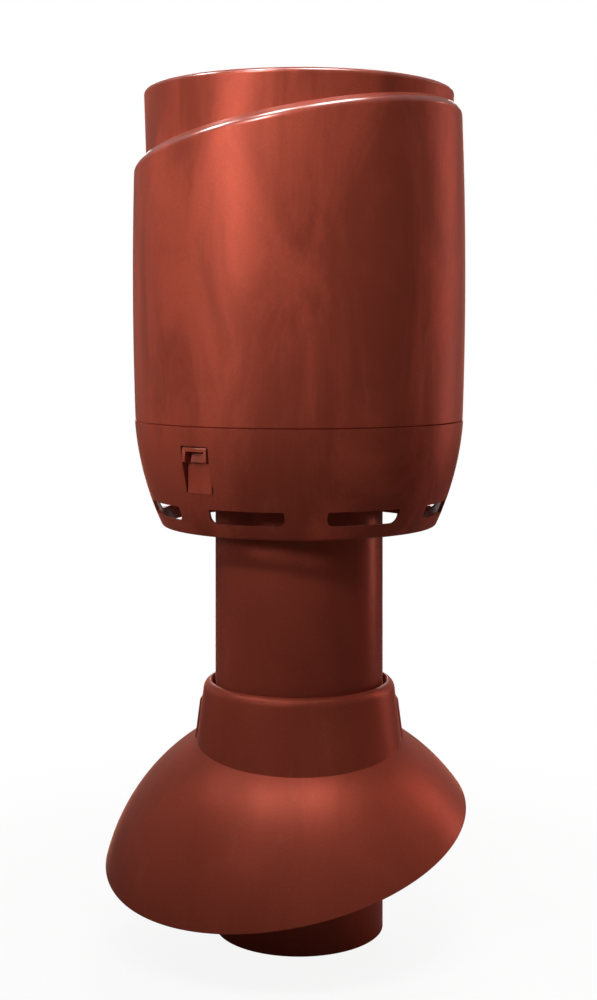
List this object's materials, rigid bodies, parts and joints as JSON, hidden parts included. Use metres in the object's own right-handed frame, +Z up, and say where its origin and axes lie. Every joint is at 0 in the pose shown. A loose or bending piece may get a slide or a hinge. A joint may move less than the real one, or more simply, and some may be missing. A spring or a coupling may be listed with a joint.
{
  "type": "roof vent pipe",
  "caption": "Plastic roof vent: standing pipe with a slotted two-part rain cap on its head and a domed roof hood round its foot.",
  "frame": {"origin": "centre of the pipe's lower end", "axes": "+Z up along the pipe, -Y is the front, +X is to the right seen from the front"},
  "size_m": [0.2368, 0.2358, 0.5477],
  "materials": {
    "tile_red_plastic": "fine-grained moulded plastic, tile red",
    "seal_rubber": "matt black rubber",
    "screw_steel": "bare steel"
  },
  "bodies": {
    "root": {"vent_pipe": "tile_red_plastic", "roof_hood": "tile_red_plastic", "hood_seal": "seal_rubber", "cap_base": "tile_red_plastic", "cap_shell": "tile_red_plastic", "rain_dish": "tile_red_plastic", "hood_screw_left": "screw_steel", "hood_screw_right": "screw_steel", "cap_screw_1": "screw_steel", "cap_screw_2": "screw_steel", "cap_screw_3": "screw_steel", "dish_screw_1": "screw_steel", "dish_screw_2": "screw_steel", "dish_screw_3": "screw_steel", "dish_screw_4": "screw_steel"}
  },
  "joints": []
}
